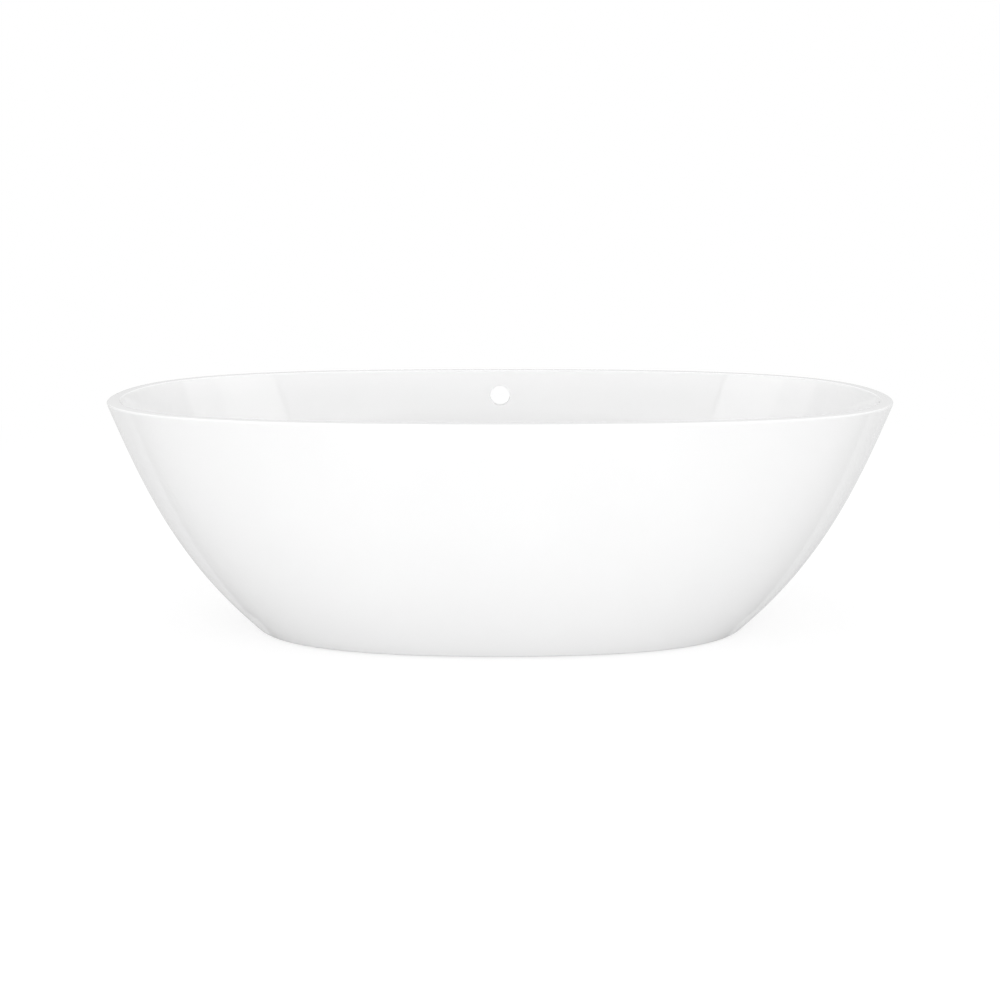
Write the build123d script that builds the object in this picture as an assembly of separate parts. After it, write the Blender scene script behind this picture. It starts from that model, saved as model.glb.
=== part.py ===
from build123d import *
import math
import os

# Freestanding oval bath, in millimetres.
# The origin is on the floor under the middle of the bath, X runs along the bath, +Y points to the wall
# with the overflow hole and +Z is up.

# Shell, outside
rim_length = 1702.5  # of the wall carried on to rim height, before the rim is rounded
rim_width = 771.0
base_length = 1129.0
base_width = 512.0
shell_height = 522.0
foot_gap = 3.0  # from the floor to the foot ring
circle_fullness = 0.5523  # handle of a cubic quarter as a share of the half axis, here for a circle
rim_fullness = 0.714
base_fullness = 0.682
even_flare = 0.59  # share of the flare that grows evenly with height, the rest fades out cubically
wall_levels = 8

# Shell, wall and edges
wall_thickness = 26.0
rim_edge_radius = 3.5
base_edge_radius = 5.0

# Bowl
under_bowl = 95.0  # from the foot ring up to the edge of the floor, room for feet and waste
corner_reach = 110.0
corner_rise = 125.0
corner_steps = 6
floor_fall = 8.0  # from the edge of the floor down to the waste
waste_flat_margin = 7.0
over_rim = 20.0  # how far the cut for the bowl stands out over the rim

# Hollow under the floor
ring_width = 24.0
hollow_draft = 8.0
recess_floor = 12.0  # left under the waste recess
boss_wall = 19.0
boss_height = 34.0
boss_root = 1.0  # how far a boss is sunk into the floor

# Overflow hole, level and straight through the back wall
overflow_radius = 25.0
overflow_drop = 64.0

# Waste fitting
tail_radius = 23.9
tail_wall = 3.9
tail_length = 60.0
flange_reach = 11.1
flange_thickness = 3.5
flange_edge_radius = 1.2
flange_sink = 0.5  # flange top below the floor round it
recess_clearance = 4.0
hole_clearance = 2.1
ring_clearance = 0.3
seal_inset = 2.0  # upper seal inside the edge of the flange
upper_seal_thickness = 2.0
lower_seal_thickness = 5.0
washer_thickness = 1.5
washer_overhang = 3.0  # past the flats of the nut
nut_wall = 5.1
nut_height = 10.0
nut_clearance = 0.1
relief_depth = 0.5  # groove that ends the free thread under the nut
relief_width = 1.0
seat_widening = 6.0
seat_depth = 5.0

# Bridge and push cartridge inside the waste
bridge_arms = 3
bridge_height = 8.0
bridge_arm_width = 4.0
hub_wall = 4.0
spigot_radius = 5.0
spigot_clearance = 0.1
cup_wall = 2.4
cup_floor = 2.0
spring_room = 8.0
piston_radius = 5.3
piston_length = 5.0
slide_clearance = 0.3
collar_height = 3.0

# Plug
plug_lift = 10.0
stop_play = 1.0  # left over the piston when the plug is up
stem_radius = 3.0
stem_grip = 7.0  # length of stem screwed into the cap
stem_clearance = 0.1
cap_inset = 4.0  # inside the edge of the flange
cap_edge = 3.0
cap_dome = 4.5
cap_gap = 0.6
cap_edge_radius = 1.2
cap_boss_wall = 5.0
cap_boss_height = 6.0
cap_boss_play = 3.0  # over the cartridge
plug_seal_height = 3.0
plug_seal_gap = 0.4

# Spring under the piston
wire_radius = 0.45
spring_turns = 4.5
spring_play = 0.05

# Levelling feet
foot_x = 360.0
foot_y = 132.0
stud_radius = 5.0
thread_clearance = 0.4
insert_wall = 2.6
insert_length = 28.0
insert_fit = 0.05
foot_hex_wall = 3.5  # from the stud to a flat of the lock nut or the spanner collar
lock_nut_height = 6.0
spanner_collar_height = 6.0
pad_radius = 25.0
pad_rim_height = 6.0
pad_height = 14.0
pad_top_radius = 13.0
pad_socket_depth = 6.0
pad_edge_radius = 1.5
stud_top_play = 6.0  # free hole over the stud at rest

# Radii worked out from the sizes above
flange_radius = tail_radius + flange_reach
recess_radius = flange_radius + recess_clearance
tail_bore = tail_radius - tail_wall
seat_radius = tail_bore + seat_widening
nut_flat = tail_radius + nut_wall
chamber_radius = piston_radius + slide_clearance
cartridge_radius = chamber_radius + cup_wall
cap_radius = flange_radius - cap_inset
cap_boss_radius = stem_radius + cap_boss_wall
threaded_bore = stud_radius + thread_clearance
insert_radius = threaded_bore + insert_wall
boss_radius = insert_radius + boss_wall
foot_hex_flat = stud_radius + foot_hex_wall

# Heights worked out from the floor up
ring_height = foot_gap
rim_height = ring_height + shell_height
floor_edge = ring_height + under_bowl
waste_level = floor_edge - floor_fall
flange_top = waste_level - flange_sink
flange_underside = flange_top - flange_thickness
recess_level = flange_underside - upper_seal_thickness
floor_underside = recess_level - recess_floor
lower_seal_bottom = floor_underside - lower_seal_thickness
washer_bottom = lower_seal_bottom - washer_thickness
nut_bottom = washer_bottom - nut_height
tail_end = flange_underside - tail_length
cap_underside = flange_top + cap_gap
cap_boss_bottom = cap_underside - cap_boss_height
cartridge_top = cap_boss_bottom - cap_boss_play - collar_height
piston_bottom = cartridge_top - stop_play - plug_lift - piston_length
chamber_bottom = piston_bottom - spring_room
bridge_top = chamber_bottom - cup_floor
bridge_bottom = bridge_top - bridge_height
boss_bottom = floor_underside - boss_height
insert_top = boss_bottom + insert_length
lock_nut_bottom = boss_bottom - lock_nut_height
stud_bottom = pad_height - pad_socket_depth
stud_top = insert_top - stud_top_play
foot_places = {
    "front_left": (-foot_x, -foot_y),
    "front_right": (foot_x, -foot_y),
    "back_left": (-foot_x, foot_y),
    "back_right": (foot_x, foot_y),
}


def oval(half_length, half_width, fullness, height):
    """Closed oval face of four cubic quarters, each handle `fullness` times the half axis beside it."""
    tips = [Vector(half_length, 0), Vector(0, half_width), Vector(-half_length, 0), Vector(0, -half_width)]
    quarters = []
    for start, end in zip(tips, tips[1:] + tips[:1]):
        quarters.append(Bezier(start, start + end * fullness, end + start * fullness, end))
    return Pos(0, 0, height) * make_face(quarters)


def flare(share):
    """How far the wall has opened, from 0 at the foot ring to 1 at the rim."""
    return even_flare * share + (1 - even_flare) * (1 - (1 - share) ** 3)


def flare_slope(share):
    """Growth of the flare per share of the height."""
    return even_flare + (1 - even_flare) * 3 * (1 - share) ** 2


def outer_half(base, rim, share):
    """Half of an outside length or width at a share of the shell's height."""
    return (base + (rim - base) * flare(share)) / 2


def inner_half(base, rim, share):
    """The same half inside, one wall thickness in along the normal of the leaning wall."""
    lean = (rim - base) / 2 * flare_slope(share) / shell_height
    return outer_half(base, rim, share) - wall_thickness * math.hypot(1, lean)


def fullness_at(share):
    return base_fullness + (rim_fullness - base_fullness) * share


def share_at(height):
    return (height - ring_height) / shell_height


def outer_section(share):
    """Outside of the shell at a share of its height."""
    half_length = outer_half(base_length, rim_length, share)
    half_width = outer_half(base_width, rim_width, share)
    return oval(half_length, half_width, fullness_at(share), ring_height + shell_height * share)


def bowl_section(height, drawn_in):
    """Inside of the bowl at a height, drawn in where the wall rounds into the floor."""
    share = share_at(height)
    half_length = inner_half(base_length, rim_length, share) - drawn_in
    half_width = inner_half(base_width, rim_width, share) - drawn_in
    return oval(half_length, half_width, fullness_at(share), height)


def bowl():
    """Solid that fills the bath above its floor and stands out over the rim."""
    sections = []
    for step in range(corner_steps + 1):
        turn = math.pi / 2 * step / corner_steps
        rise = corner_rise * (1 - math.cos(turn))
        sections.append(bowl_section(floor_edge + rise, corner_reach * (1 - math.sin(turn))))
    wall_foot = floor_edge + corner_rise
    for step in range(1, wall_levels + 1):
        height = wall_foot + (rim_height + over_rim - wall_foot) * step / wall_levels
        sections.append(bowl_section(height, 0))
    return loft(sections)


def floor_dish():
    """Shallow funnel from the edge of the floor down to a round flat for the waste."""
    edge = bowl_section(floor_edge, corner_reach)
    flat_radius = recess_radius + waste_flat_margin
    flat = oval(flat_radius, flat_radius, circle_fullness, waste_level)
    return loft([flat, edge], ruled=True)


def tube(outer_radius, inner_radius, bottom, top):
    """Ring standing on the height `bottom`."""
    ring = Circle(outer_radius) - Circle(inner_radius)
    return Pos(0, 0, bottom) * extrude(ring, top - bottom)


def rod(radius, bottom, top):
    return Pos(0, 0, bottom) * extrude(Circle(radius), top - bottom)


def hexagon(flat, bottom, top):
    """Hexagonal bar with its flats the given distance from the axis."""
    outline = RegularPolygon(flat, 6, major_radius=False)
    return Pos(0, 0, bottom) * extrude(outline, top - bottom)


def edges_at(shape, height):
    """Edges that lie level at a height."""
    near = 1e-3
    level = []
    for edge in shape.edges():
        box = edge.bounding_box()
        if abs(box.min.Z - height) < near and abs(box.max.Z - height) < near:
            level.append(edge)
    return level


def hollow():
    """Space under the floor inside the foot ring, slightly narrower at its top."""
    mouth_length = base_length / 2 - ring_width
    mouth_width = base_width / 2 - ring_width
    mouth = oval(mouth_length, mouth_width, base_fullness, ring_height)
    top = oval(mouth_length - hollow_draft, mouth_width - hollow_draft, base_fullness, floor_underside)
    return loft([mouth, top])


def bath_shell():
    """One casting: flared wall, rounded rim, bowl, foot ring, bosses, overflow hole and waste recess."""
    shell = loft([outer_section(step / wall_levels) for step in range(wall_levels + 1)])
    shell = shell - bowl() - floor_dish() - hollow()
    shell = fillet(edges_at(shell, rim_height), rim_edge_radius)
    shell = fillet(edges_at(shell, ring_height), base_edge_radius)
    for x, y in foot_places.values():
        shell += Pos(x, y) * rod(boss_radius, boss_bottom, floor_underside + boss_root)
    for x, y in foot_places.values():
        shell -= Pos(x, y) * rod(insert_radius + insert_fit, boss_bottom, insert_top)
    shell -= rod(recess_radius, recess_level, waste_level)
    shell -= rod(tail_radius + hole_clearance, floor_underside, recess_level)
    overflow = extrude(Circle(overflow_radius), rim_width)
    return shell - Pos(0, 0, rim_height - overflow_drop) * Rot(X=-90) * overflow


def drain_body():
    """Flange with a conical seat, threaded tail, and the bridge that carries the cartridge."""
    tail = tube(tail_radius, tail_bore, tail_end, flange_underside)
    tail -= tube(tail_radius + relief_depth, tail_radius - relief_depth, nut_bottom - relief_width, nut_bottom)
    flange = rod(flange_radius, flange_underside, flange_top)
    flange = fillet(edges_at(flange, flange_top), flange_edge_radius)
    body = tail + flange - rod(tail_bore, flange_underside, flange_top)
    body -= Pos(0, 0, flange_top - seat_depth / 2) * Cone(tail_bore, seat_radius, seat_depth)
    bridge = rod(spigot_radius + hub_wall, bridge_bottom, bridge_top)
    from_hub = (Align.MIN, Align.CENTER, Align.MIN)
    arm = Box(tail_radius - tail_wall / 2, bridge_arm_width, bridge_height, align=from_hub)
    for number in range(bridge_arms):
        bridge += Rot(Z=360 / bridge_arms * number) * Pos(0, 0, bridge_bottom) * arm
    return body + bridge - rod(spigot_radius + spigot_clearance, bridge_bottom, bridge_top)


def waste_ring(outer_radius, bottom, top):
    """Ring round the tail."""
    return tube(outer_radius, tail_radius + ring_clearance, bottom, top)


def drain_backnut():
    thread = rod(tail_radius + nut_clearance, nut_bottom, washer_bottom)
    return hexagon(nut_flat, nut_bottom, washer_bottom) - thread


def cartridge_body():
    """Cup for spring and piston, with a threaded spigot through the bridge."""
    cup = rod(cartridge_radius, bridge_top, cartridge_top)
    cup += rod(spigot_radius, bridge_bottom, bridge_top)
    return cup - rod(chamber_radius, chamber_bottom, cartridge_top)


def cartridge_collar():
    return tube(cartridge_radius, stem_radius + slide_clearance, cartridge_top, cartridge_top + collar_height)


def cartridge_spring():
    """Coil of round wire between the floor of the cup and the piston."""
    low = chamber_bottom + wire_radius + spring_play
    high = piston_bottom - wire_radius - spring_play
    path = Pos(0, 0, low) * Helix((high - low) / spring_turns, high - low, piston_radius - wire_radius)
    section = Plane(origin=path @ 0, z_dir=path % 0) * Circle(wire_radius)
    return sweep(section, path, is_frenet=True)


def plug_stem():
    stem = rod(piston_radius, piston_bottom, piston_bottom + piston_length)
    return stem + rod(stem_radius, piston_bottom + piston_length, cap_boss_bottom + stem_grip)


def plug_cap():
    """Domed cap with a boss that takes the stem."""
    edge_top = cap_underside + cap_edge
    rim_point = (cap_radius, edge_top)
    half_way = (cap_radius / 2, edge_top + cap_dome * 3 / 4)
    crown = (0, edge_top + cap_dome)
    outline = Polyline(crown, (0, cap_underside), (cap_radius, cap_underside), rim_point)
    outline += ThreePointArc(rim_point, half_way, crown)
    cap = revolve(Plane.XZ * make_face(outline), Axis.Z)
    cap = fillet(edges_at(cap, edge_top), cap_edge_radius)
    cap += rod(cap_boss_radius, cap_boss_bottom, cap_underside)
    return cap - rod(stem_radius + stem_clearance, cap_boss_bottom, cap_boss_bottom + stem_grip)


def plug_seal():
    """Flat rubber ring under the cap that closes on the cone of the flange."""
    bottom = cap_underside - plug_seal_height
    seat_at_bottom = seat_radius - (flange_top - bottom) * seat_widening / seat_depth
    return tube(seat_at_bottom - plug_seal_gap, cap_boss_radius + stem_clearance, bottom, cap_underside)


def foot_insert():
    """Threaded bush in a boss."""
    return tube(insert_radius, threaded_bore, boss_bottom, insert_top)


def foot_lock_nut():
    nut = hexagon(foot_hex_flat, lock_nut_bottom, boss_bottom)
    return nut - rod(threaded_bore, lock_nut_bottom, boss_bottom)


def foot_stud():
    """Threaded rod with a hexagonal collar for the spanner."""
    collar = hexagon(foot_hex_flat, pad_height, pad_height + spanner_collar_height)
    return rod(stud_radius, stud_bottom, stud_top) + collar


def foot_pad():
    """Round pad with a sloping top and a socket for the stud."""
    outline = Polyline((0, 0), (pad_radius, 0), (pad_radius, pad_rim_height), (pad_top_radius, pad_height),
                       (0, pad_height), close=True)
    pad = revolve(Plane.XZ * make_face(outline), Axis.Z)
    pad = fillet(edges_at(pad, pad_rim_height), pad_edge_radius)
    return pad - rod(stud_radius + stem_clearance, stud_bottom, pad_height)


def at_each_foot(solid):
    """Four copies as one group of separate solids."""
    return Compound(children=[Pos(x, y) * solid for x, y in foot_places.values()])


nodes = {
    "bath_shell": bath_shell(),
    "drain_body": drain_body(),
    "drain_seal_upper": waste_ring(flange_radius - seal_inset, recess_level, flange_underside),
    "drain_seal_lower": waste_ring(nut_flat + washer_overhang, lower_seal_bottom, floor_underside),
    "drain_slip_washer": waste_ring(nut_flat + washer_overhang, washer_bottom, lower_seal_bottom),
    "drain_backnut": drain_backnut(),
    "cartridge_body": cartridge_body(),
    "cartridge_collar": cartridge_collar(),
    "cartridge_spring": cartridge_spring(),
    "plug_stem": plug_stem(),
    "plug_cap": plug_cap(),
    "plug_seal": plug_seal(),
    "foot_inserts": at_each_foot(foot_insert()),
    "foot_lock_nuts": at_each_foot(foot_lock_nut()),
}
for place, (x, y) in foot_places.items():
    nodes["foot_stud_" + place] = Pos(x, y) * foot_stud()
    nodes["foot_pad_" + place] = Pos(x, y) * foot_pad()

os.makedirs("parts", exist_ok=True)
for name, shape in nodes.items():
    export_step(shape, "parts/" + name + ".step")
    print(name, round(shape.volume), "mm3")
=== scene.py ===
# %% [markdown]
# # A freestanding oval bath
# The real bath is one polished white casting with a narrow rim, a bare overflow hole in its long back wall, a
# push plug in its floor and four levelling feet hidden in its hollow base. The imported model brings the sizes,
# the bodies and the joints. This lesson gives every piece a finer surface and a finish, then lights it as a
# studio photograph would.

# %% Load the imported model
import math

import bmesh
import bpy
import numpy as np
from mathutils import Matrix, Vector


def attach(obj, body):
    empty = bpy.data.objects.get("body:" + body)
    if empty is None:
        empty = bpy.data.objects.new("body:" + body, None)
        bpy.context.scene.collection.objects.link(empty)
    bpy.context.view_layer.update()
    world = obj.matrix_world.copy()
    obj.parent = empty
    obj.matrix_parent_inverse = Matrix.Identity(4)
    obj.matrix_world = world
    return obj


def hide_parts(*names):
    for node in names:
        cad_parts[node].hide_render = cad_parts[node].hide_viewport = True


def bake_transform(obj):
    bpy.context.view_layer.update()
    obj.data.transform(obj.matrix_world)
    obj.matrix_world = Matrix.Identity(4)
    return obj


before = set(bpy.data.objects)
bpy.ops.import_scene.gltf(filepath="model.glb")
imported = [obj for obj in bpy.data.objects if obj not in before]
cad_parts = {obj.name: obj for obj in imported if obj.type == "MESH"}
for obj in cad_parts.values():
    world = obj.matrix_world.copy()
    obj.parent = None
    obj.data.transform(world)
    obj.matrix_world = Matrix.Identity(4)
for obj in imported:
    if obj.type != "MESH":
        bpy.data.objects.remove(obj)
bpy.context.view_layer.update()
mm = 0.001

# %% [markdown]
# ## Camera
# A camera can be matched by hand, or worked out from what is known of the object. Here a pinhole camera was
# fitted to the outline of the bath: it stands 2.4 m in front of the middle of the long side, a little over
# rim height, and looks slightly down. The lens is given as the distance at which one pixel spans one unit.

# %% Camera
image_width = 1000
pixels_to_film = 1072.25
camera_distance = 2.3611
camera_height = 0.9005
camera_dip = 0.258

camera_data = bpy.data.cameras.new("front_camera")
camera_data.sensor_fit = "HORIZONTAL"
camera_data.lens = camera_data.sensor_width * pixels_to_film / image_width
camera = bpy.data.objects.new("front_camera", camera_data)
camera.location = (0, -camera_distance, camera_height)
camera.rotation_euler = (math.pi / 2 - camera_dip, 0, 0)
bpy.context.collection.objects.link(camera)
bpy.context.scene.camera = camera
bpy.context.scene.view_settings.view_transform = "Standard"
print("lens:", round(camera_data.lens, 2), "mm")

# %% [markdown]
# ## Writing finishes as expressions
# A finish is a graph of nodes. Wiring it by hand takes many lines, so one small class wraps a socket: adding
# or multiplying two wrapped sockets adds a Math node, and one method adds any other node. `1 - mask` works
# too, because Python asks the right-hand side when the number does not know what to do.

# %% A socket that can be calculated with
class Field:
    """A value that changes over a surface: one output socket of a node tree."""

    def __init__(self, tree, socket):
        self.tree = tree
        self.socket = socket

    def node(self, kind, sockets, output=0, **settings):
        """Add any node: its settings first, then numbers, colours or other fields for its sockets."""
        made = self.tree.nodes.new(kind)
        for name, value in settings.items():
            setattr(made, name, value)
        for name, value in sockets.items():
            connect(self.tree, made.inputs[name], value)
        return Field(self.tree, made.outputs[output])

    def math(self, operation, first, second=0.0):
        """Add a Math node; a calculation with one number leaves the second at 0."""
        return self.node("ShaderNodeMath", {0: first, 1: second}, operation=operation)

    def __add__(self, other):
        return self.math("ADD", self, other)

    def __radd__(self, other):
        return self.math("ADD", other, self)

    def __sub__(self, other):
        return self.math("SUBTRACT", self, other)

    def __rsub__(self, other):
        return self.math("SUBTRACT", other, self)

    def __mul__(self, other):
        return self.math("MULTIPLY", self, other)

    def __rmul__(self, other):
        return self.math("MULTIPLY", other, self)

    def __abs__(self):
        return self.math("ABSOLUTE", self)

    def root(self):
        """The square root of this field."""
        return self.math("SQRT", self)

    def between(self, low, high):
        """A smooth step from 0 where this field is at low to 1 where it is at high."""
        limits = {"Value": self, "From Min": low, "From Max": high}
        return self.node("ShaderNodeMapRange", limits, interpolation_type="SMOOTHSTEP")

    def mix(self, first, second):
        """The first colour, or field of colours, where this field is 0, and the second where it is 1."""
        return self.node("ShaderNodeMix", {0: self, 6: first, 7: second}, output=2, data_type="RGBA")

    def tint(self, dark, light):
        """A plain colour that goes from dark to light as this field goes from 0 to 1."""
        return self.mix((*dark, 1), (*light, 1))

    def noise(self, scale, detail=2.0, roughness=0.5):
        """Soft random lumps, `scale` of them to the metre, where this field is a place."""
        lumps = {"Vector": self, "Scale": scale, "Detail": detail, "Roughness": roughness}
        return self.node("ShaderNodeTexNoise", lumps)

    def along(self, axis):
        """One coordinate of a field of places: 0 is x, 1 is y and 2 is z."""
        return self.node("ShaderNodeSeparateXYZ", {0: self}, output=axis)

    def bump(self, height):
        """A surface direction that looks raised by this field times a height in metres."""
        return self.node("ShaderNodeBump", {"Height": self, "Distance": height})


def connect(tree, socket, value):
    """Link a field to a socket, or write a plain number or colour into it."""
    if isinstance(value, Field):
        tree.links.new(value.socket, socket)
    else:
        socket.default_value = value


def new_finish(name):
    """An empty material: returns it, its shader node and the field of places on the object, in metres."""
    finish = bpy.data.materials.new(name)
    finish.use_nodes = True
    tree = finish.node_tree
    shader = tree.nodes["Principled BSDF"]
    places = Field(tree, tree.nodes.new("ShaderNodeTexCoord").outputs["Object"])
    return finish, shader, places


def dress(finish, shader, **sockets):
    """Give the shader its constants and its fields; an underscore stands for a space."""
    for name, value in sockets.items():
        connect(finish.node_tree, shader.inputs[name.replace("_", " ")], value)


finishes = {}

# %% [markdown]
# ## White casting
# The shell is cast from white mineral powder in resin, then ground and polished. Up close it is not one flat
# white: the powder clouds a little, polishing leaves patches that are slightly less glossy, and the broad
# surface is never perfectly even, which is what makes reflections bend. Noise at four scales does all that.
# The overflow hole is drilled last, so its bore stays matt, and its colour is painted a little darker as shade
# inside the bore. It could be a second material, but a mask of the distance from the hole's axis keeps the
# casting one piece with one finish.

# %% White casting
casting, shader, place = new_finish("polished_white_casting")
cloud = place.noise(5.0, detail=4.0)
powder = place.noise(1800.0, detail=1.0)
polish = place.noise(38.0, detail=3.0)
ripple = place.noise(7.0, detail=1.0)
white = (0.75 * cloud + 0.25 * powder).tint((0.864, 0.864, 0.864), (0.903, 0.903, 0.903))

overflow_radius, overflow_height = 25 * mm, 461 * mm
sideways, above = place.along(0), place.along(2) - overflow_height
from_hole_axis = (sideways * sideways + above * above).root()
beyond_bore = from_hole_axis.between(overflow_radius, overflow_radius + 0.5 * mm)
in_back_half = place.along(1).between(0, 100 * mm)
# The bore's mask makes it matt and paints its colour darker, as painted shade inside the hole.
bore_matt_and_shade = (1 - beyond_bore) * in_back_half
bore_painted_shade = (0.83, 0.83, 0.83, 1)
dress(casting, shader, Base_Color=bore_matt_and_shade.mix(white, bore_painted_shade), IOR=1.52,
      Roughness=0.03 + 0.04 * polish + 0.5 * bore_matt_and_shade, Normal=ripple.bump(0.15 * mm))
finishes["shell_white"] = casting
print("white casting:", len(casting.node_tree.nodes), "nodes")

# %% [markdown]
# ## Metal, rubber and plastic of the fittings
# Chrome is a mirror with faint smears. Turned brass shows fine rings around its axis, which a sine of the
# height and of the distance from the axis would give; a noise stretched along the rings looks less regular.
# Zinc-plated steel is cloudy, rubber is dull with a grain, and moulded plastic has a fine leather-like skin.

# %% Chrome
chrome, shader, place = new_finish("polished_chrome")
smear = place.noise(60.0, detail=3.0)
dress(chrome, shader, Metallic=1.0, Base_Color=smear.tint((0.76, 0.77, 0.785), (0.82, 0.825, 0.83)),
      Roughness=0.04 + 0.07 * smear)
finishes["plated"] = chrome
print("chrome:", len(chrome.node_tree.nodes), "nodes")


# %% Turned brass and plated steel
def stretched(place, across, along):
    """Noise that changes quickly with height and slowly sideways, like the marks of a turning tool."""
    scale = {"Vector": place, "Scale": (across, across, along)}
    return place.node("ShaderNodeMapping", scale).noise(1.0, detail=3.0)


brass, shader, place = new_finish("turned_brass")
tool_marks = stretched(place, 60.0, 3500.0)
tarnish = place.noise(120.0, detail=4.0)
dress(brass, shader, Metallic=1.0, Base_Color=tarnish.tint((0.6, 0.42, 0.18), (0.8, 0.62, 0.32)),
      Roughness=0.2 + 0.2 * tool_marks, Normal=tool_marks.bump(0.03 * mm))
finishes["raw_brass"] = brass

steel, shader, place = new_finish("plated_steel")
zinc = place.noise(260.0, detail=5.0, roughness=0.65)
dress(steel, shader, Metallic=1.0, Base_Color=zinc.tint((0.5, 0.515, 0.53), (0.7, 0.7, 0.69)),
      Roughness=0.22 + 0.2 * zinc, Normal=zinc.bump(0.02 * mm))
finishes["steel"] = steel
print("brass:", len(brass.node_tree.nodes), "nodes, steel:", len(steel.node_tree.nodes), "nodes")

# %% Rubber and plastics
rubber, shader, place = new_finish("black_rubber")
bloom = place.noise(90.0, detail=4.0)
dress(rubber, shader, Base_Color=bloom.tint((0.014, 0.014, 0.015), (0.04, 0.04, 0.042)),
      Roughness=0.6 + 0.25 * bloom, Normal=place.noise(2500.0).bump(0.03 * mm))
finishes["seal_rubber"] = rubber

washer_plastic, shader, place = new_finish("white_plastic")
skin = place.noise(150.0, detail=3.0)
dress(washer_plastic, shader, Base_Color=skin.tint((0.7, 0.69, 0.65), (0.82, 0.82, 0.79)),
      Roughness=0.4 + 0.15 * skin, Normal=place.noise(1500.0).bump(0.02 * mm))
finishes["washer_plastic"] = washer_plastic

nylon, shader, place = new_finish("black_nylon")
grain = place.noise(1400.0, detail=3.0)
scuff = place.noise(70.0, detail=5.0, roughness=0.7)
dress(nylon, shader, Base_Color=scuff.tint((0.012, 0.012, 0.013), (0.045, 0.045, 0.047)),
      Roughness=0.42 + 0.25 * scuff, Normal=grain.bump(0.06 * mm))
finishes["pad_plastic"] = nylon
print("finishes:", sorted(finishes))

# %% [markdown]
# ## Grids
# Every piece below is a grid of points: rows of rings, where the columns run round the ring and the rows run
# along an outline. If the outline is a closed loop the last row joins the first. If it starts or ends on the
# axis, that whole row falls on one point, and merging doubles closes the pole.

# %% Grids and pieces
def ring_faces(rows, columns, closed):
    """Four-sided faces of a grid whose columns close into rings; row r, column c is point r * columns + c."""
    row = np.arange(rows if closed else rows - 1)[:, None]
    column = np.arange(columns)[None, :]
    here = row * columns
    above = (row + 1) % rows * columns
    right = (column + 1) % columns
    return np.stack([here + column, here + right, above + right, above + column], axis=-1)


def surface(rows, closed):
    """Points and faces of stacked rings, given as an array of rows by columns by three."""
    return rows.reshape(-1, 3), ring_faces(rows.shape[0], rows.shape[1], closed).reshape(-1, 4)


def together(surfaces):
    """Several surfaces as one: points one after the other, face numbers moved up to match."""
    starts = np.cumsum([0] + [len(points) for points, _ in surfaces[:-1]])
    points = np.concatenate([points for points, _ in surfaces])
    faces = np.concatenate([faces + start for (_, faces), start in zip(surfaces, starts)])
    return points, faces


crisp_from = math.radians(35)


def new_piece(name, shape, slot, node, body=None):
    """A mesh object for points and faces, with doubles merged, faces turned outwards and edges sharper than
    an angle kept crisp. It stands for a solid of the model and rides on a body."""
    points, faces = shape
    mesh = bpy.data.meshes.new(name)
    mesh.from_pydata(points.tolist(), [], faces.tolist())
    work = bmesh.new()
    work.from_mesh(mesh)
    bmesh.ops.remove_doubles(work, verts=work.verts, dist=1e-7)
    bmesh.ops.recalc_face_normals(work, faces=work.faces)
    work.to_mesh(mesh)
    work.free()
    mesh.polygons.foreach_set("use_smooth", np.ones(len(mesh.polygons), dtype=bool))
    mesh.set_sharp_from_angle(angle=crisp_from)
    mesh.materials.append(finishes[slot])
    piece = bpy.data.objects.new(name, mesh)
    bpy.context.collection.objects.link(piece)
    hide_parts(node)
    if body:
        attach(piece, body)
    print(name, "has", len(mesh.polygons), "faces")
    return piece


# %% [markdown]
# ## Shell: outline formulas
# Seen from above the bath is an oval of four cubic curves, fuller than an ellipse. Its half length and half
# width grow with height: partly evenly, partly by a cubic that is steep at the foot and fades towards the
# rim. The inside is one wall thickness in, square to the leaning wall, and rounds into the floor along a
# quarter of an ellipse. Lofting curves would also work, but formulas put rows exactly where they are needed.

# %% Shell sizes and walls
rim_length, rim_width = 1702.5 * mm, 771 * mm
base_length, base_width = 1129 * mm, 512 * mm
ring_height, shell_height = 3 * mm, 522 * mm
rim_height = ring_height + shell_height
rim_fullness, base_fullness, circle_fullness = 0.714, 0.682, 0.5523
even_flare = 0.59
wall_thickness = 26 * mm
floor_edge = 98 * mm
corner_reach, corner_rise = 110 * mm, 125 * mm


def outer_wall(base, rim, height):
    """Half an outside length or width: base plus the flare, an even part and a fading cubic part."""
    share = (height - ring_height) / shell_height
    flare = even_flare * share + (1 - even_flare) * (1 - (1 - share) ** 3)
    return (base + (rim - base) * flare) / 2


def wall_lean(base, rim, height):
    """How far the wall leans out per metre of height: the derivative of the formula above."""
    share = (height - ring_height) / shell_height
    return (rim - base) / 2 / shell_height * (even_flare + 3 * (1 - even_flare) * (1 - share) ** 2)


def inner_wall(base, rim, height):
    """Half an inside length or width: in by the wall, and by a quarter ellipse in the corner to the floor."""
    up_the_corner = np.clip((height - floor_edge) / corner_rise, 0, 1)
    drawn_in = corner_reach * (1 - np.sqrt(1 - (1 - up_the_corner) ** 2))
    level_thickness = wall_thickness * np.hypot(1, wall_lean(base, rim, height))
    return outer_wall(base, rim, height) - level_thickness - drawn_in


def fullness_at(height):
    """How far the handles of the oval's curves reach, in half axes: it grows evenly from base to rim."""
    return base_fullness + (rim_fullness - base_fullness) * (height - ring_height) / shell_height


print("outside at rim height:", 2 * outer_wall(base_length, rim_length, rim_height) / mm, "mm long")

# %% [markdown]
# ## Shell: rounded edges
# The rim and the foot ring are rounded by arcs that leave the wall without a kink. The arc's centre lies one
# radius below the edge; the point where it touches the wall follows from the lean of the wall.

# %% Rounded edges
rim_edge, base_edge = 3.5 * mm, 5 * mm
floor_underside = 72 * mm
ring_width, hollow_draft = 24 * mm, 8 * mm


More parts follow.
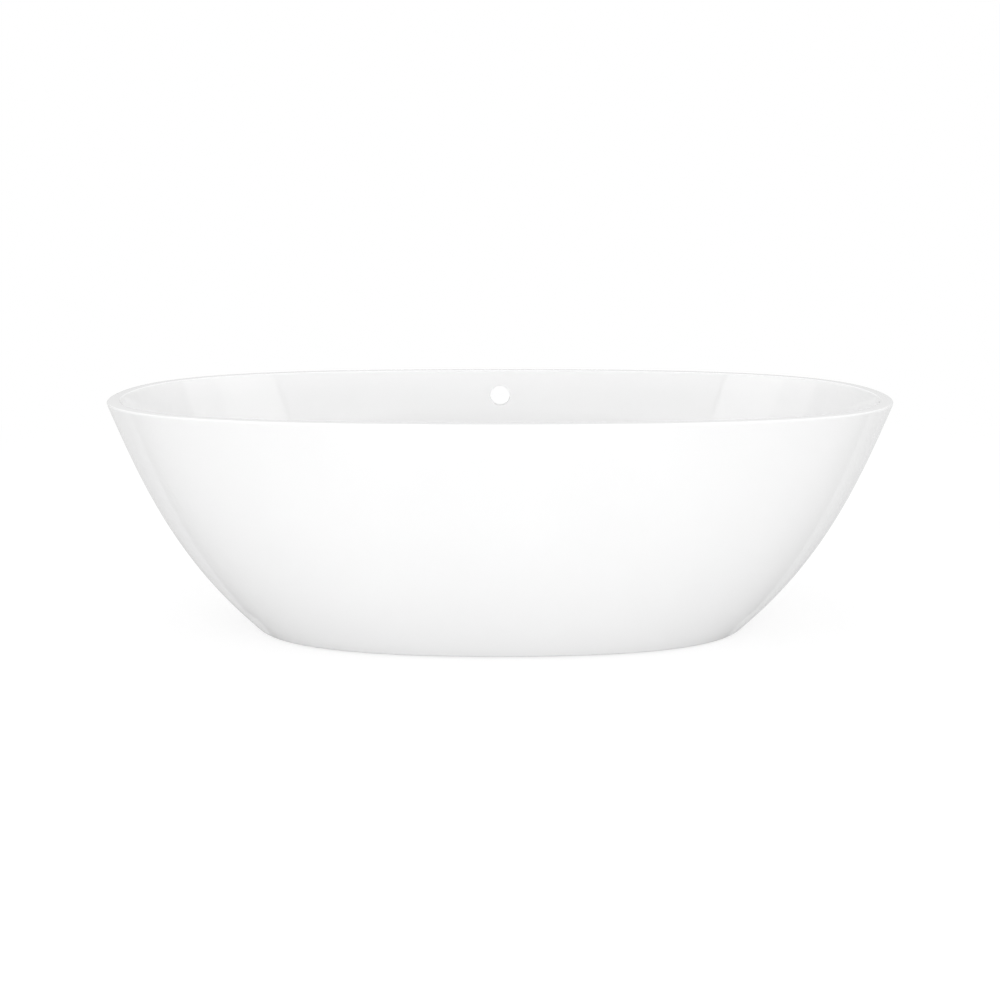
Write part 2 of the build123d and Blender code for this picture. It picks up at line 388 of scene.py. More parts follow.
def rounded(wall_half, height, lean, level, radius, up, side):
    """A wall whose edge at `level` is an arc: centre one radius inside the edge, touching the wall square to
    its lean. `up` is 1 for an upper edge and -1 for a lower one, `side` 1 outside and -1 inside."""
    centre_height = level - up * radius
    turn = math.atan(lean)
    touch = centre_height - side * radius * math.sin(turn)
    centre = wall_half(touch) - side * radius * math.cos(turn)
    bow = np.sqrt(np.maximum(radius**2 - (height - centre_height) ** 2, 0))
    return np.where(up * (height - touch) > 0, centre + side * bow, wall_half(height))


def outside(base, rim, height):
    """Half an outside length or width, with foot ring and rim rounded."""
    upper = rounded(lambda level: outer_wall(base, rim, level), height,
                    wall_lean(base, rim, rim_height), rim_height, rim_edge, up=1, side=1)
    lower = rounded(lambda level: outer_wall(base, rim, level), height,
                    wall_lean(base, rim, ring_height), ring_height, base_edge, up=-1, side=1)
    return np.where(height > floor_edge, upper, lower)


def inside(base, rim, height):
    """Half an inside length or width, with the rim rounded."""
    return rounded(lambda level: inner_wall(base, rim, level), height,
                   wall_lean(base, rim, rim_height), rim_height, rim_edge, up=1, side=-1)


def hollow(base, height):
    """Half a length or width of the space under the floor: it narrows evenly upwards from a rounded mouth."""
    narrowing = hollow_draft / (floor_underside - ring_height)
    return rounded(lambda level: base / 2 - ring_width - narrowing * (level - ring_height), height,
                   -narrowing, ring_height, base_edge, up=-1, side=-1)


print("rim edge radius:", rim_edge / mm, "mm, foot ring edge radius:", base_edge / mm, "mm")

# %% [markdown]
# ## Shell: one closed skin
# A list of ovals runs up the outside, over the rim, down the inside, across the floor into the recess for
# the waste, through its hole, and back under the floor to the foot ring. Each oval is four numbers and a
# height. Turning the list into points is one formula on whole arrays.

# %% Ovals from foot to rim, down the bowl and back
waste_level, recess_level = 90 * mm, 84 * mm
waste_flat, recess_radius, hole_radius = 46 * mm, 39 * mm, 26 * mm
recess_lip = 1 * mm
window_reach = 45 * mm


def ovals(half_length, half_width, fullness, height):
    """A list of ovals: half axes, the two curve handles beside them, and the height."""
    handles = np.array([fullness * half_length, fullness * half_width])
    return np.column_stack([half_length, half_width, handles[0], handles[1], height + 0 * half_length])


def circles(radius, height):
    """A list of ovals with equal half axes and the handles that make a circle of four cubic curves."""
    return ovals(radius, radius, circle_fullness, height)


def steps_between(first, last, count):
    """Ovals part of the way from one to another, evenly, without the two ends."""
    share = np.linspace(0, 1, count + 2)[1:-1, None]
    return first + (last - first) * share


quarter_turn = np.linspace(0, np.pi / 2, 24)
foot_arc_end, rim_arc_start = 1.3, -0.4
over_foot_arc = 9 * mm
window_heights = np.linspace(overflow_height - window_reach, overflow_height + window_reach, 19)
foot_arc = ring_height + base_edge * (1 - np.cos(np.linspace(0, foot_arc_end, 9)))
rim_arc = rim_height - rim_edge * (1 - np.sin(np.linspace(rim_arc_start, np.pi / 2, 14)))
low_wall = np.linspace(over_foot_arc, window_heights[0], 27)[:-1]
corner = floor_edge + corner_rise * (1 - np.cos(quarter_turn))
bowl_wall = np.linspace(corner[-1], window_heights[0], 14)[1:-1]
outside_heights = np.concatenate([foot_arc, low_wall, window_heights, rim_arc])
inside_heights = np.concatenate([corner, bowl_wall, window_heights, rim_arc])[::-1]

skin_outside = ovals(outside(base_length, rim_length, outside_heights),
                     outside(base_width, rim_width, outside_heights),
                     fullness_at(outside_heights), outside_heights)
skin_inside = ovals(inside(base_length, rim_length, inside_heights),
                    inside(base_width, rim_width, inside_heights),
                    fullness_at(inside_heights), inside_heights)
lip_turn = np.linspace(0, np.pi / 2, 6)
recess = circles(np.concatenate([[waste_flat], recess_radius + recess_lip * (1 - np.sin(lip_turn)),
                                 [recess_radius, hole_radius, hole_radius]]),
                 np.concatenate([[waste_level], waste_level - recess_lip * (1 - np.cos(lip_turn)),
                                 [recess_level, recess_level, floor_underside]]))
floor_dish = steps_between(skin_inside[-1], recess[0], 12)
hollow_heights = np.concatenate([np.linspace(floor_underside, over_foot_arc, 8), foot_arc[::-1]])
skin_hollow = ovals(hollow(base_length, hollow_heights), hollow(base_width, hollow_heights),
                    np.full(len(hollow_heights), base_fullness), hollow_heights)
underside = steps_between(recess[-1], skin_hollow[0], 8)
skin = np.concatenate([skin_outside, skin_inside, floor_dish, recess, underside, skin_hollow])
print("ovals round the skin:", len(skin))

# %% Points on the ovals
per_quarter = 96
crowding = 1.5


def oval_points(ovals_list):
    """Points of cubic quarters. With t from 0 at an end of the bath to 1 at the middle of a long side,
    x = half length * ((1-t)^3 + 3t(1-t)^2) + handle * 3t^2(1-t), and y is the same read backwards.
    Steps in t are crowded towards the long sides, where the overflow hole needs short ones."""
    step = np.arange(per_quarter) / per_quarter
    to_side = 1 - (1 - step) ** crowding
    from_side = 1 - step**crowding
    t = np.concatenate([to_side, from_side, to_side, from_side])
    sign_x = np.repeat([1, -1, -1, 1], per_quarter)
    sign_y = np.repeat([1, 1, -1, -1], per_quarter)
    half_length, half_width, handle_x, handle_y, height = ovals_list.T[:, :, None]
    x = half_length * ((1 - t) ** 3 + 3 * t * (1 - t) ** 2) + handle_x * 3 * t**2 * (1 - t)
    y = half_width * (t**3 + 3 * t**2 * (1 - t)) + handle_y * 3 * t * (1 - t) ** 2
    return np.stack([x * sign_x, y * sign_y, height + 0 * x], axis=-1)


shell_rows = oval_points(skin)
columns = shell_rows.shape[1]
shell_faces = ring_faces(len(shell_rows), columns, closed=True)
print("shell grid:", shell_rows.shape[0], "rows of", columns)

# %% [markdown]
# ## Shell: overflow hole
# A round hole does not follow the grid, so a window of faces is taken out of both sides of the back wall and
# a tunnel is put in: its rings start as the square outline of the outer window, become round, roll over a
# small lip into the hole, and come out the other side in the reverse order. The first and last rings are
# the window's own points, so the skin stays closed.

# %% Overflow hole
overflow_lip = 1 * mm
window_columns = 9


def oval_depth(x, half_length, half_width, fullness):
    """y on the back of an oval at a given x: Newton's method finds u = 1 - t of the formula above from x."""
    x = np.abs(x)
    u = x / (3 * fullness * half_length)
    for _ in range(6):
        reached = half_length * (u**3 + 3 * u**2 * (1 - u) + fullness * 3 * u * (1 - u) ** 2)
        growth = half_length * (6 * u * (1 - u) + 3 * fullness * (1 - u) * (1 - 3 * u))
        u = u - (reached - x) / growth
    return half_width * ((1 - u) ** 3 + 3 * u * (1 - u) ** 2 + fullness * 3 * u**2 * (1 - u))


def back_wall(side, x, height):
    """y of the back wall, where side is the function of the outside or of the inside."""
    return oval_depth(x, side(base_length, rim_length, height), side(base_width, rim_width, height),
                      fullness_at(height))


last_level = len(window_heights) - 1
outside_start = len(foot_arc) + len(low_wall)
inside_start = len(skin_outside) + len(rim_arc) + last_level
left, right = per_quarter - window_columns, per_quarter + window_columns
across = np.arange(left, right)
upward = np.arange(last_level)
window_level = np.concatenate([0 * across, upward, last_level + 0 * across, last_level - upward])
window_column = np.concatenate([across, right + 0 * upward, across[::-1] + 1, left + 0 * upward])
outer_window = (outside_start + window_level) * columns + window_column
inner_window = (inside_start - window_level) * columns + window_column

flat_points = shell_rows.reshape(-1, 3)
window_x = flat_points[outer_window, 0]
window_z = flat_points[outer_window, 2] - overflow_height
window_turn = np.arctan2(window_z, window_x)
lip_radius = (overflow_radius + overflow_lip * (1 - np.sin(lip_turn)))[:, None]
lip_depth = (overflow_lip * (1 - np.cos(lip_turn)))[:, None]
easing = np.array([0.22, 0.42, 0.6, 0.75, 0.88])[:, None]
round_x, round_z = np.cos(window_turn), np.sin(window_turn)


def half_tunnel(side, inward):
    """Rings from the window to the middle of the hole on one side of the wall: first sliding from square to
    round along the wall, then round a quarter of the lip into the wall."""
    slide_x = window_x + easing * (lip_radius[0] * round_x - window_x)
    slide_z = window_z + easing * (lip_radius[0] * round_z - window_z)
    x = np.concatenate([slide_x, lip_radius * round_x])
    z = np.concatenate([slide_z, lip_radius * round_z]) + overflow_height
    depth = np.concatenate([0 * easing, lip_depth])
    return np.stack([x, back_wall(side, x, z) + inward * depth, z], axis=-1)


outer_rings = half_tunnel(outside, -1)
inner_rings = half_tunnel(inside, 1)[::-1]
tunnel = np.concatenate([outer_rings, (2 * outer_rings[-1:] + inner_rings[:1]) / 3,
                         (outer_rings[-1:] + 2 * inner_rings[:1]) / 3, inner_rings])
numbers = len(flat_points) + np.arange(tunnel.shape[0] * tunnel.shape[1]).reshape(tunnel.shape[:2])
numbers = np.concatenate([outer_window[None], numbers, inner_window[None]])
tunnel_faces = numbers.ravel()[ring_faces(len(numbers), numbers.shape[1], closed=False)]

kept = np.ones(shell_faces.shape[:2], dtype=bool)
kept[outside_start:outside_start + last_level, left:right] = False
kept[inside_start - last_level:inside_start, left:right] = False
casting_skin = (np.concatenate([flat_points, tunnel.reshape(-1, 3)]),
                np.concatenate([shell_faces[kept], tunnel_faces.reshape(-1, 4)]))
print("overflow tunnel:", tunnel.shape[0], "rings of", tunnel.shape[1])

# %% [markdown]
# ## Turned shapes
# The fittings are mostly turned on a lathe, so they are outlines of radius and height carried once round the
# axis. A corner of an outline can have a radius, because no real edge is perfectly sharp and only a rounded
# edge catches the light.

# %% Outlines with rounded corners, carried round an axis
arc_steps = 5


def outline(corners):
    """Points of an outline in mm, given as (radius, height, rounding). A rounded corner becomes an arc that
    touches both sides; its centre lies on the line that halves the corner."""
    places = np.array([corner[:2] for corner in corners], dtype=float)
    points = []
    for number, corner in enumerate(corners):
        here, rounding = places[number], corner[2]
        if rounding == 0:
            points.append(here[None])
            continue
        back = places[number - 1] - here
        ahead = places[(number + 1) % len(places)] - here
        back, ahead = back / np.linalg.norm(back), ahead / np.linalg.norm(ahead)
        half_angle = math.acos(np.clip(back @ ahead, -1, 1)) / 2
        halving = (back + ahead) / np.linalg.norm(back + ahead)
        centre = here + halving * rounding / math.sin(half_angle)
        start = here + back * rounding / math.tan(half_angle) - centre
        end = here + ahead * rounding / math.tan(half_angle) - centre
        first = math.atan2(start[1], start[0])
        sweep = (math.atan2(end[1], end[0]) - first + np.pi) % (2 * np.pi) - np.pi
        turn = first + sweep * np.linspace(0, 1, arc_steps + 1)
        points.append(centre + rounding * np.column_stack([np.cos(turn), np.sin(turn)]))
    return np.concatenate(points)


def round_axis(radius, height, count):
    """Rings of points at radius and height, in mm; both may also change round the ring."""
    turn = 2 * np.pi * np.arange(count)[None, :] / count
    x, y, z = np.broadcast_arrays(radius * np.cos(turn), radius * np.sin(turn), height)
    return np.stack([x, y, z], axis=-1) * mm


def turned(corners, count=72):
    """Rings of an outline with rounded corners."""
    points = outline(corners)
    return round_axis(points[:, :1], points[:, 1:], count)


def ring(bore, radius, low, high, inner_edge, outer_edge, count=72):
    """Rings of a washer or bush in mm: an outline of four corners, two rounded inside and two outside."""
    return turned([(bore, low, inner_edge), (radius, low, outer_edge), (radius, high, outer_edge),
                   (bore, high, inner_edge)], count)


def groove(radius, depth, low, high, slope):
    """Corners of a groove round a turned piece: both sides climb by `slope`, and half of it rounds them."""
    return [(radius, low, slope / 2), (radius - depth, low + slope, slope / 2),
            (radius - depth, high - slope, slope / 2), (radius, high, slope / 2)]


def moved(shape, x, y):
    """A surface moved sideways, in mm."""
    points, faces = shape
    return points + np.array([x, y, 0]) * mm, faces


foot_x, foot_y = 360, 132
foot_places = {"front_left": (-foot_x, -foot_y), "front_right": (foot_x, -foot_y),
               "back_left": (-foot_x, foot_y), "back_right": (foot_x, foot_y)}
print("feet in mm:", foot_places)

# %% Shell with its four bosses
boss_radius, boss_foot, boss_root = 27, 38, 72.5
insert_hole, insert_top = 8.05, 66
boss = turned([(0, insert_top, 0), (insert_hole, insert_top, 0), (insert_hole, boss_foot, 0.8),
               (boss_radius, boss_foot, 2.5), (boss_radius, boss_root, 0), (0, boss_root, 0)])
bosses = [moved(surface(boss, closed=False), *spot) for spot in foot_places.values()]
new_piece("shell", together([casting_skin] + bosses), "shell_white", "bath_shell", "bath")

# %% [markdown]
# ## Threads, hexagons and grips
# A thread is a radius that depends on how far a point is from the nearest crest, and the crest climbs one
# pitch per turn. A nut is a hexagon cut off by a cone at both ends. A grip ring is a radius that swings in
# and out round the axis. All three are formulas of turn and height on the same kind of grid.

# %% Threads, hexagons and grips
def threaded(crest, depth, pitch, low, high, count, per_turn=8):
    """Rings of an outside thread: root plus depth times a trapezoid of the distance to the crest. Both ends
    run out to the root within one pitch."""
    height = np.linspace(low, high, int((high - low) / pitch * per_turn) + 1)[:, None]
    turns = height / pitch - np.arange(count)[None, :] / count
    from_crest = 2 * np.abs(turns - np.round(turns))
    root_share, flank_share = 0.1, 0.8
    tooth = np.clip((1 - root_share - from_crest) / flank_share, 0, 1)
    ends = np.clip(np.minimum(height - low, high - height) / pitch, 0, 1)
    return round_axis(crest - depth + depth * tooth * ends, height, count)


def hexagonal(flat, low, high, count):
    """Rings of a hexagonal bar with corners on the X axis: radius = flat / cos(angle to the nearest flat),
    but no more than a cone of 30 degrees at each end allows."""
    turn = 2 * np.pi * np.arange(count)[None, :] / count
    to_flat = turn % (np.pi / 3) - np.pi / 6
    cone_start = 0.97 * flat
    cone_height = (flat / math.cos(math.pi / 6) - cone_start) * math.tan(math.pi / 6)
    rise = np.linspace(0, cone_height, 7)
    height = np.concatenate([low + rise, high - rise[::-1]])[:, None]
    cone = cone_start + np.minimum(height - low, high - height) / math.tan(math.pi / 6)
    return round_axis(np.minimum(flat / np.cos(to_flat), cone), height, count)


def gripped(rows, ridges, depth, beyond):
    """Rings whose points further out than a radius, in mm, are drawn in and out by a cosine of the turn."""
    radius = np.hypot(rows[..., 0], rows[..., 1])
    wave = (1 - np.cos(ridges * np.arctan2(rows[..., 1], rows[..., 0]))) / 2
    shrink = np.where(radius > beyond * mm, 1 - depth * mm * wave / np.maximum(radius, mm), 1)
    return rows * np.stack([shrink, shrink, np.ones_like(shrink)], axis=-1)


# %% [markdown]
# ## Waste fitting
# A chromed brass body drops through the floor: a flange with a conical seat, a threaded tail, and three arms
# that hold the push cartridge. Two rubber seals, a slip washer and a hexagonal nut clamp it to the floor.

# %% Waste body
def bar(inner, outer, width, low, high, angle, count=32):
    """A radial bar in mm with a rounded rectangular section: both halves of the section are a cosine and a
    sine raised to a small power. Its end rings shrink to a point."""
    turn = 2 * np.pi * np.arange(count) / count
    power = 0.3
    side = width / 2 * np.sign(np.cos(turn)) * np.abs(np.cos(turn)) ** power
    rise = (high - low) / 2 * np.sign(np.sin(turn)) * np.abs(np.sin(turn)) ** power
    along = np.array([inner, inner, outer, outer])[:, None]
    size = np.array([0, 1, 1, 0])[:, None]
    x = along * math.cos(angle) - side * size * math.sin(angle)
    y = along * math.sin(angle) + side * size * math.cos(angle)
    z = (low + high) / 2 + rise * size
    return surface(np.stack([x, y, z], axis=-1) * mm, closed=False)


waste_count = 96
tail_bore, tail_root, tail_crest, tail_end = 20, 22.5, 23.9, 26
thread_low, thread_high, thread_pitch = 26.4, 71, 2.309
floor_below = floor_underside / mm
flange_radius, flange_low, flange_top = 35, 86, 89.5
seat_radius, seat_foot = 26, 84.5
bridge_low, bridge_top, bridge_arms = 44.1, 52.1, 3
tail_foot = turned([(tail_bore, seat_foot, 1), (tail_bore, tail_end, 0.6), (tail_root, tail_end, 0.3)],
                   waste_count)
tail_thread = threaded(tail_crest, tail_crest - tail_root, thread_pitch, thread_low, thread_high, waste_count)
flange = turned([(tail_root, thread_high + 0.2, 0), (tail_crest, floor_below, 0), (tail_crest, flange_low, 0),
                 (flange_radius, flange_low, 0.3), (flange_radius, flange_top, 1.2),
                 (seat_radius, flange_top, 0.4), (tail_bore, seat_foot, 1)], waste_count)
hub = ring(bore=5.1, radius=9, low=bridge_low, high=bridge_top, inner_edge=0.4, outer_edge=0.8)
arms = [bar(inner=8.4, outer=20.8, width=4, low=bridge_low, high=bridge_top, angle=turn)
        for turn in np.arange(bridge_arms) * 2 * np.pi / bridge_arms]
body_rows = np.concatenate([tail_foot, tail_thread, flange])
new_piece("waste_body", together([surface(body_rows, closed=True), surface(hub, closed=True)] + arms),
          "plated", "drain_body", "bath")

# %% Seals, washer and nut on the tail
round_tail, flange_seal_radius, washer_radius = 24.2, 33, 32
nut_low, nut_top, washer_top = 55.5, 65.5, 67
flange_seal = ring(round_tail, flange_seal_radius, recess_level / mm, flange_low, 0.3, 0.7, waste_count)
floor_seal = ring(round_tail, washer_radius, washer_top, floor_below, 0.5, 1.5, waste_count)
slip_washer = ring(round_tail, washer_radius, nut_top, washer_top, 0.2, 0.4, waste_count)
new_piece("waste_flange_seal", surface(flange_seal, closed=True), "seal_rubber", "drain_seal_upper", "bath")
new_piece("waste_floor_seal", surface(floor_seal, closed=True), "seal_rubber", "drain_seal_lower", "bath")
new_piece("waste_slip_washer", surface(slip_washer, closed=True), "washer_plastic", "drain_slip_washer",
          "bath")


def nut(flat, bore, low, high, lead, count):
    """A hexagonal nut: hexagonal rings outside, a bore with a chamfered lead at both ends inside."""
    hole = turned([(bore + lead, high, 0), (bore, high - lead, 0), (bore, low + lead, 0),
                   (bore + lead, low, 0)], count)
    return surface(np.concatenate([hexagonal(flat, low, high, count), hole]), closed=True)


waste_nut = nut(flat=29, bore=24, low=nut_low, high=nut_top, lead=0.8, count=144)
new_piece("waste_nut", waste_nut, "raw_brass", "drain_backnut", "bath")

# %% [markdown]
# ## Push plug
# A domed chrome cap closes the waste. Its stem ends in a piston that slides in a brass cup, with a spring
# below it and a ribbed collar on top. The spring is the only piece that changes length: its lower end stays
# with the bath and its upper end goes with the plug.

# %% Cap, seal and stem
cap_radius, cap_low, crown_low, crown_rise = 31, 90.1, 93.1, 4.5
cap_boss, cap_boss_foot = 8, 84.1
stem_radius, stem_hole, stem_top = 3, 3.1, 91.1
crown = [(radius, crown_low + crown_rise * (1 - (radius / cap_radius) ** 2), 0)
         for radius in np.linspace(0, cap_radius - 1.5, 20)]
cap = turned(crown + [(cap_radius, crown_low, 0.8), (cap_radius, cap_low, 0.4), (cap_boss, cap_low, 0.4),
                      (cap_boss, cap_boss_foot, 0.6), (stem_hole, cap_boss_foot, 0.2),
                      (stem_hole, stem_top, 0), (0, stem_top, 0)], waste_count)
new_piece("plug_cap_domed", surface(cap, closed=False), "plated", "plug_cap", "plug")
seal_bore, seal_radius, seal_foot = 8.1, 22.7, 87.1
seal = turned([(seal_bore, seal_foot, 0.2), (seal_radius - 0.8, seal_foot, 0.7),
               (seal_radius, seal_foot + 1.5, 0.5), (seal_radius, cap_low, 0.2), (seal_bore, cap_low, 0.2)],
              waste_count)
new_piece("plug_seal_ring", surface(seal, closed=True), "seal_rubber", "plug_seal", "plug")
piston_radius, piston_low, piston_top = 5.3, 62.1, 67.1
piston_groove = groove(piston_radius, depth=0.6, low=63.9, high=65.3, slope=0.2)
stem = turned([(0, piston_low, 0), (piston_radius, piston_low, 0.5), *piston_groove,
               (piston_radius, piston_top, 0.5), (stem_radius, piston_top, 0.3),
               (stem_radius, stem_top - 0.5, 0), (stem_radius - 0.5, stem_top, 0), (0, stem_top, 0)], 48)
new_piece("plug_stem_turned", surface(stem, closed=False), "steel", "plug_stem", "plug")

# %% Cartridge and spring
spigot_radius, cup_radius, cup_bore, cup_floor, cup_top = 5, 8, 5.6, 54.1, 78.1
collar_bore, collar_top = 3.3, 81.1
cup_groove = groove(cup_radius, depth=0.6, low=58, high=60.4, slope=0.4)
cup = turned([(0, bridge_low, 0), (spigot_radius, bridge_low, 0.5), (spigot_radius, bridge_top, 0),
              (cup_radius, bridge_top, 0.5), *cup_groove, (cup_radius, cup_top, 0.4),
              (cup_bore, cup_top, 0.3), (cup_bore, cup_floor, 0), (0, cup_floor, 0)], 64)
new_piece("cartridge_cup", surface(cup, closed=False), "raw_brass", "cartridge_body", "bath")
collar = turned([(collar_bore, cup_top, 0.2), (cup_radius, cup_top, 0.4), (cup_radius, collar_top, 0.6),
                 (collar_bore, collar_top, 0.3)], 144)
collar = gripped(collar, ridges=24, depth=0.4, beyond=7)
new_piece("cartridge_grip_collar", surface(collar, closed=True), "raw_brass", "cartridge_collar", "bath")


def coil(radius, wire, low, high, turns, count=12):
    """Rings of a round wire along a helix, in mm: each ring lies across the wire, in the plane of the outward
    direction and the direction square to that and to the wire. The end rings shrink to a point."""
    share = np.linspace(0, 1, int(turns * 48))
    share = np.concatenate([share[:1], share, share[-1:]])
    size = np.ones_like(share)
    size[[0, -1]] = 0
    angle = 2 * np.pi * turns * share
    outward = np.column_stack([np.cos(angle), np.sin(angle), 0 * angle])
    climb = (high - low) / (2 * np.pi * turns)
    ahead = np.column_stack([-radius * np.sin(angle), radius * np.cos(angle), climb + 0 * angle])
    across_wire = np.cross(outward, ahead / np.hypot(radius, climb))
    middle = radius * outward + np.column_stack([0 * angle, 0 * angle, low + (high - low) * share])
    turn = (2 * np.pi * np.arange(count) / count)[None, :, None]
    section = np.cos(turn) * outward[:, None] + np.sin(turn) * across_wire[:, None]
    return (middle[:, None] + wire * size[:, None, None] * section) * mm


coil_rows = coil(radius=4.85, wire=0.45, low=cup_floor + 0.5, high=piston_low - 0.5, turns=4.5)
spring = new_piece("cartridge_coil", surface(coil_rows, closed=False), "steel", "cartridge_spring")
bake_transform(spring)

# %% [markdown]
# ## Levelling feet
# Under each boss a threaded stud stands in a nylon pad. A hexagonal collar takes the spanner, and a lock nut
# holds the height. Pad and stud move together, so they ride on the body of their foot.

# %% Inserts and lock nuts, four of each
thread_bore, insert_radius, lock_nut_foot, spanner_flat = 5.4, 8, 32, 8.5
insert = turned([(thread_bore, boss_foot, 0.4), (insert_radius, boss_foot, 0.3),
                 (insert_radius, insert_top, 0.4), (thread_bore, insert_top, 0.4)], 96)
insert = gripped(insert, ridges=32, depth=0.35, beyond=7.5)
inserts = [moved(surface(insert, closed=True), *spot) for spot in foot_places.values()]
new_piece("foot_bushes", together(inserts), "raw_brass", "foot_inserts", "bath")
lock_nut = nut(spanner_flat, thread_bore, low=lock_nut_foot, high=boss_foot, lead=0.5, count=96)
lock_nuts = [moved(lock_nut, *spot) for spot in foot_places.values()]
new_piece("foot_nuts", together(lock_nuts), "steel", "foot_lock_nuts", "bath")

# %% Studs and pads
stud_count = 72
stud_radius, stud_foot, stud_top, stud_tip = 5, 8, 60, 3.6
pad_radius, pad_hole, pad_rim, pad_neck, pad_top = 25, 5.1, 6, 13, 14
sole_recess, sole_inner, sole_outer = 0.8, 15.5, 16.5
collar_end = 20
shank = turned([(0, stud_foot, 0), (stud_radius, stud_foot, 0.5), (stud_radius, pad_top, 0)], stud_count)
spanner_collar = hexagonal(spanner_flat, pad_top, collar_end, stud_count)
stud_thread = threaded(stud_radius, depth=0.85, pitch=1.5, low=collar_end, high=stud_top - 0.4,
                       count=stud_count)
stud_end = turned([(stud_tip, stud_top, 0), (0, stud_top, 0)], stud_count)
stud = surface(np.concatenate([shank, spanner_collar, stud_thread, stud_end]), closed=False)
pad_rows = turned([(0, sole_recess, 0), (sole_inner, sole_recess, 0.3), (sole_outer, 0, 0.3),
                   (pad_radius, 0, 0.6), (pad_radius, pad_rim, 1.5), (pad_neck, pad_top, 1),
                   (pad_hole, pad_top, 0.4), (pad_hole, stud_foot, 0), (0, stud_foot, 0)], 144)
pad = surface(gripped(pad_rows, ridges=24, depth=0.5, beyond=pad_neck + 0.5), closed=False)
for foot, (x, y) in foot_places.items():
    new_piece("stud_" + foot, moved(stud, x, y), "steel", "foot_stud_" + foot, "foot_" + foot)
    new_piece("pad_" + foot, moved(pad, x, y), "pad_plastic", "foot_pad_" + foot, "foot_" + foot)

# %% [markdown]
# ## Floor and light
# The bath stands on a pale floor in white surroundings. Cut-out product pictures show both as plain
# white, but real white would throw too much light up under the bath. The Light Path node tells the rays
# apart: rays from the camera see floor and surroundings as white with a soft shadow, and rays that carry
# light from one surface to another see them as pale grey. Mirrored rays see white far away. Close by they
# see a glowing floor that is grey up to a line just before the bath's long axis and pale beyond it. This
# glow, which only mirrored rays see, is a painted reflection: its edge paints the fine line that the
# polished ends of the bath show. The line bends forward a little at the two front corners of the base, and
# there the floor also glows a little for rays bounced from the bath, painted light so that the foot does not
# sink into its own shadow.

# %% Rays that see white
def rays(tree):
    """Two fields: 1 for rays straight from the camera, and 1 for rays that were mirrored or refracted."""
    path = tree.nodes.new("ShaderNodeLightPath")
    mirrored = Field(tree, path.outputs["Is Glossy Ray"]) + Field(tree, path.outputs["Is Transmission Ray"])
    return Field(tree, path.outputs["Is Camera Ray"]), mirrored


# %% Floor
floor_size = 30.0
floor_mesh = bpy.data.meshes.new("studio_floor")
corners = floor_size * np.array([[-1, -1, 0], [1, -1, 0], [1, 1, 0], [-1, 1, 0]])
floor_mesh.from_pydata(corners.tolist(), [], [(0, 1, 2, 3)])
studio_floor = bpy.data.objects.new("studio_floor", floor_mesh)
bpy.context.collection.objects.link(studio_floor)

floor_finish, shader, place = new_finish("pale_floor")
tree = floor_finish.node_tree
camera_rays, mirror_rays = rays(tree)
bounced_rays = 1 - camera_rays - mirror_rays
distance = place.node("ShaderNodeVectorMath", {0: place}, output="Value", operation="LENGTH")
outward, depth = abs(place.along(0)), place.along(1)
corner_outward, corner_depth = 0.53, -0.14
past_corner, behind_corner = outward - corner_outward, depth - corner_depth
from_corner = (past_corner * past_corner + behind_corner * behind_corner).root()
line_before_axis, line_slant, line_bend = 0.173, 0.11, 0.027
bend = line_bend * (1 - from_corner.between(0.03, 0.1))
past_line = depth + (line_before_axis - line_slant * outward) + bend
nearing = past_line.between(-0.65, 0.0)
behind = past_line.between(-0.004, 0.008)
far_behind = past_line.between(0.1, 0.9)

bounced_pale, seen_pale, mirrored_pale = 0.77, 0.3, 0.1
seen_drop, mirrored_drop = bounced_pale - seen_pale, bounced_pale - mirrored_pale
grain = 0.03 * place.noise(3.0)
lit_share = (bounced_pale - seen_drop * camera_rays - mirrored_drop * mirror_rays) + grain
# Painted reflection: a glow that only mirrored rays see. It is grey, darker as it nears the line and brighter
# just behind it and further back, so the polished ends of the bath show a fine line.
grey, darkening, glow_behind_line, glow_far_behind = 0.42, 0.3, 0.45, 0.12
mirrored_glow = grey - darkening * nearing + glow_behind_line * behind + glow_far_behind * far_behind
# Painted light: near the front corners of the base the floor glows a little for rays bounced from the bath,
# lightening the foot in its own shadow.
seen_glow, corner_glow = 0.73, 0.05
corner_light = corner_glow * (1 - from_corner.between(0.03, 0.2)) * bounced_rays
glow_share = seen_glow * camera_rays + mirror_rays * mirrored_glow + corner_light
dress(floor_finish, shader, Roughness=0.9, Base_Color=lit_share.tint((0, 0, 0), (1, 1, 1)),
      Emission_Color=glow_share.tint((0, 0, 0), (1, 1, 1)), Emission_Strength=1.0)
shader.inputs["Specular IOR Level"].default_value = 0.0
white_glow = place.node("ShaderNodeEmission", {"Color": (1, 1, 1, 1), "Strength": 1.0})
seen_fade, mirrored_fade = distance.between(1.6, 3.2), distance.between(3.0, 6.0)
far_white = camera_rays * seen_fade + mirror_rays * mirrored_fade
mixed = place.node("ShaderNodeMixShader", {0: far_white, 1: Field(tree, shader.outputs[0]), 2: white_glow})
connect(tree, tree.nodes["Material Output"].inputs["Surface"], mixed)
floor_mesh.materials.append(floor_finish)
print("floor finish:", len(tree.nodes), "nodes")

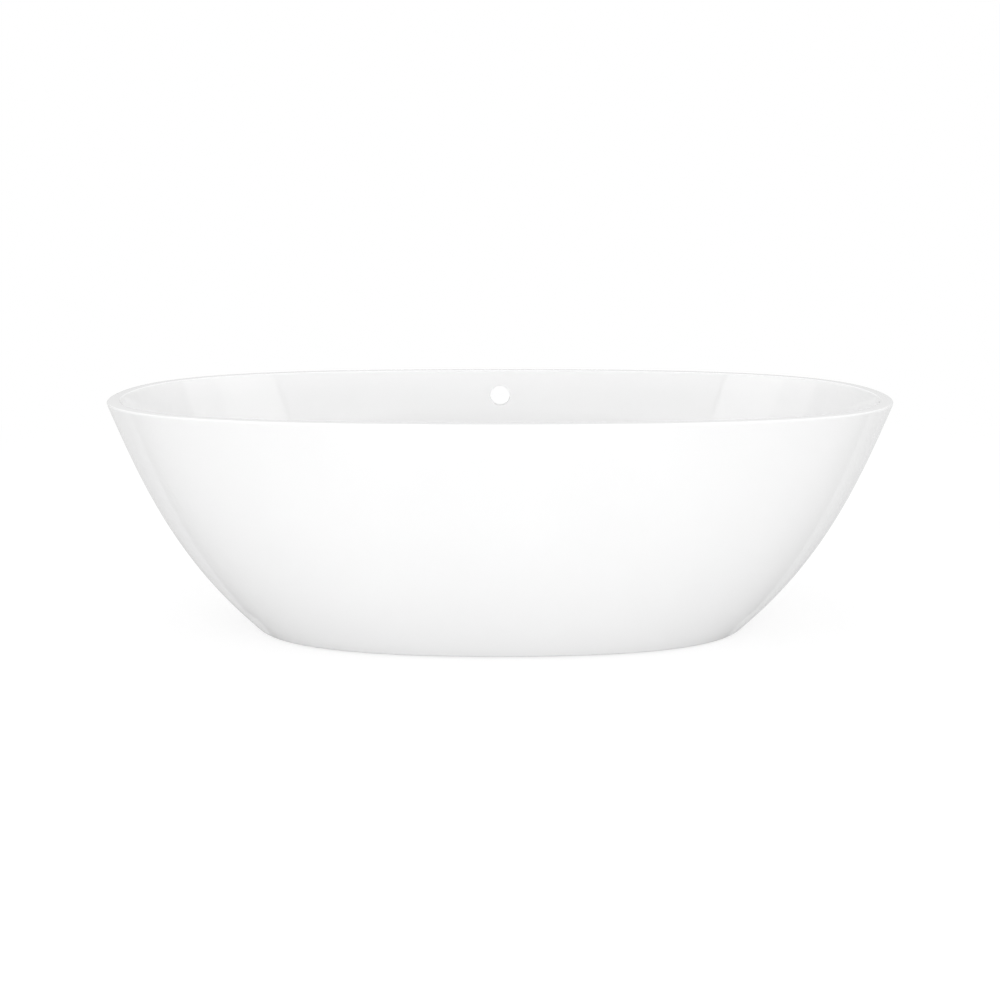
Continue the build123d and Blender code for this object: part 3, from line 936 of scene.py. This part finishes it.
# %% Surroundings
world = bpy.data.worlds.new("white_studio")
bpy.context.scene.world = world
world.use_nodes = True
tree = world.node_tree
camera_rays, mirror_rays = rays(tree)
direction = Field(tree, tree.nodes.new("ShaderNodeTexCoord").outputs["Generated"])
overhead = direction.along(2).between(0.1, 0.5)
ambient, horizon = 0.86, 0.65
brightness = camera_rays + mirror_rays * (horizon + (1 - horizon) * overhead)
brightness = brightness.math("MAXIMUM", brightness, ambient * (1 - camera_rays - mirror_rays))
connect(tree, tree.nodes["Background"].inputs["Color"], brightness.tint((0, 0, 0), (1, 1, 1)))
print("surroundings:", len(tree.nodes), "nodes")


# %% [markdown]
# Two long soft strips stand on either side in front of the bath, the nearer to the camera brighter than
# the other, with a gap in the middle for the camera. Their reflections are the two lighter fields at
# either end of the inner back wall. A low lamp in front fills the outside, a weaker one above it the
# bowl, one overhead the rim, and a low one behind the back. Strengths are given as brightness, so a panel
# can change size and still look as bright: power = pi * brightness * area.

# %% Lamps
def soft_panel(name, place, facing, width, height, brightness):
    """A rectangular lamp at a place, turned the way it faces; power = pi * brightness * area."""
    data = bpy.data.lights.new(name, "AREA")
    data.shape = "RECTANGLE"
    data.size, data.size_y = width, height
    data.energy = math.pi * brightness * width * height
    lamp = bpy.data.objects.new(name, data)
    lamp.location = place
    lamp.rotation_euler = Vector(facing).to_track_quat("-Z", "Y").to_euler()
    lamp.visible_camera = False
    bpy.context.collection.objects.link(lamp)


strip_level, strip_height = 1.375, 0.35
for name, side in (("left", -1), ("right", 1)):
    inward = (-2.8 * side, 1.2, 0)
    soft_panel("strip_near_" + name, place=(1.124 * side, -2.244, strip_level), facing=inward,
               width=1.645, height=strip_height, brightness=1.45)
    soft_panel("strip_far_" + name, place=(1.724 * side, -0.844, strip_level), facing=inward,
               width=1.4, height=strip_height, brightness=0.82)
lamp_distance, lamp_width = 3.2, 1.6
soft_panel("front_low", place=(0, -lamp_distance, 0.39), facing=(0, 1, 0),
           width=lamp_width, height=0.78, brightness=4.55)
soft_panel("front_high", place=(0, -lamp_distance, 1.5), facing=(0, 1, 0),
           width=lamp_width, height=1.4, brightness=0.75)
soft_panel("overhead", place=(0, 0, 2.3), facing=(0, 0, -1), width=2.0, height=1.2, brightness=0.97)
soft_panel("back_low", place=(0, lamp_distance, 0.25), facing=(0, -1, 0),
           width=lamp_width, height=0.5, brightness=3.2)
